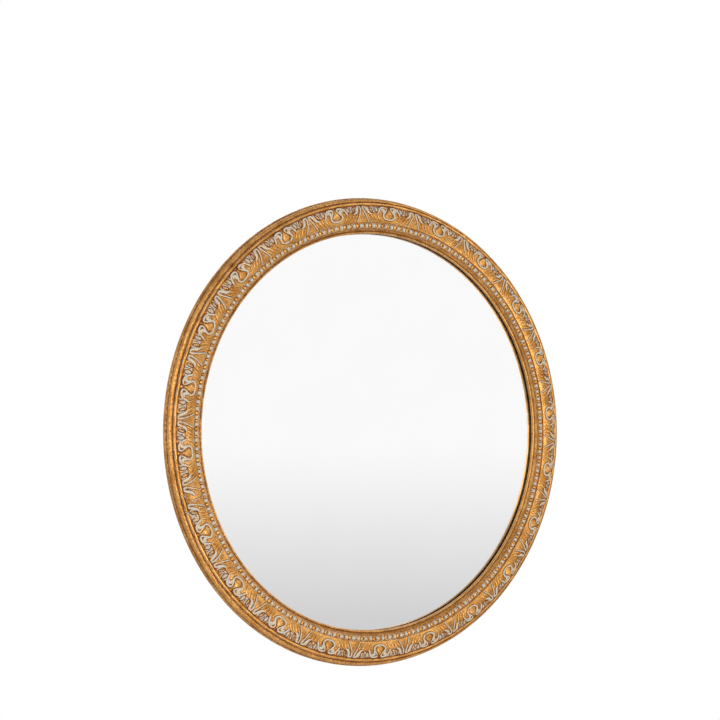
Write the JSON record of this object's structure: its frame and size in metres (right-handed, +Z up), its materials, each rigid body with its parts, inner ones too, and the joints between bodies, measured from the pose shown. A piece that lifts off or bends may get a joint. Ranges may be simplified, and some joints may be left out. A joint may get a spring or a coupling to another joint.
{
  "type": "round mirror",
  "caption": "Round wall mirror: flat pane in a gilt frame with a palmette and C-scroll frieze and a bead-and-reel edge, hung by swinging rings, its back closed by turn buttons.",
  "frame": {"origin": "where the mirror's axis meets the wall plane behind it", "axes": "+Z up, -Y the way the mirror faces, +Y into the wall"},
  "size_m": [0.5999, 0.0292, 0.6],
  "materials": {
    "gilt_wood": "gold leaf over red-brown bole, rubbed",
    "gilt_ornament": "gold leaf with a grey-white wash on the high points",
    "gilt_beads": "gold leaf with a grey-white wash on the reels",
    "beech": "bare",
    "pane": "polished float glass",
    "silver": "silvered",
    "cork": "bare",
    "foam": "closed-cell foam sheet",
    "hardboard": "smooth hardboard",
    "brass": "stamped, dull",
    "steel_screws": "zinc plated",
    "zinc_plate": "zinc plated",
    "ring_wire": "zinc plated",
    "bumper_rubber": "matte"
  },
  "bodies": {
    "frame": {"frame_segment_right": "gilt_wood", "frame_segment_left": "gilt_wood", "joint_dowels": "beech", "ornament_strip_right": "gilt_ornament", "ornament_strip_left": "gilt_ornament", "bead_strip_right": "gilt_beads", "bead_strip_left": "gilt_beads", "mirror_glass": "pane", "mirror_silvering": "silver", "edge_pads": "cork", "foam_sheet": "foam", "backing_board": "hardboard", "button_screws": "steel_screws", "hanger_strap_left": "zinc_plate", "hanger_strap_right": "zinc_plate", "hanger_screws": "steel_screws", "wall_bumpers": "bumper_rubber"},
    "turn_button_1": {"turn_button_1": "brass"},
    "turn_button_2": {"turn_button_2": "brass"},
    "turn_button_3": {"turn_button_3": "brass"},
    "turn_button_4": {"turn_button_4": "brass"},
    "turn_button_5": {"turn_button_5": "brass"},
    "turn_button_6": {"turn_button_6": "brass"},
    "hanger_ring_left": {"hanger_ring_left": "ring_wire"},
    "hanger_ring_right": {"hanger_ring_right": "ring_wire"}
  },
  "joints": [
    {"name": "turn_button_1_turn", "type": "hinge", "parent": "frame", "child": "turn_button_1", "pos_m": [0.1345, -0.0052, 0.23296], "axis": [0, 1, 0], "continuous": true},
    {"name": "turn_button_2_turn", "type": "hinge", "parent": "frame", "child": "turn_button_2", "pos_m": [0.269, -0.0052, 0], "axis": [0, 1, 0], "continuous": true},
    {"name": "turn_button_3_turn", "type": "hinge", "parent": "frame", "child": "turn_button_3", "pos_m": [0.1345, -0.0052, -0.23296], "axis": [0, 1, 0], "continuous": true},
    {"name": "turn_button_4_turn", "type": "hinge", "parent": "frame", "child": "turn_button_4", "pos_m": [-0.1345, -0.0052, -0.23296], "axis": [0, 1, 0], "continuous": true},
    {"name": "turn_button_5_turn", "type": "hinge", "parent": "frame", "child": "turn_button_5", "pos_m": [-0.269, -0.0052, 0], "axis": [0, 1, 0], "continuous": true},
    {"name": "turn_button_6_turn", "type": "hinge", "parent": "frame", "child": "turn_button_6", "pos_m": [-0.1345, -0.0052, 0.23296], "axis": [0, 1, 0], "continuous": true},
    {"name": "hanger_ring_left_swing", "type": "hinge", "parent": "frame", "child": "hanger_ring_left", "pos_m": [-0.26288, -0.00355, 0.11568], "axis": [1, 0, 0], "range_deg": [0, 180]},
    {"name": "hanger_ring_right_swing", "type": "hinge", "parent": "frame", "child": "hanger_ring_right", "pos_m": [0.26288, -0.00355, 0.11568], "axis": [1, 0, 0], "range_deg": [0, 180]}
  ]
}
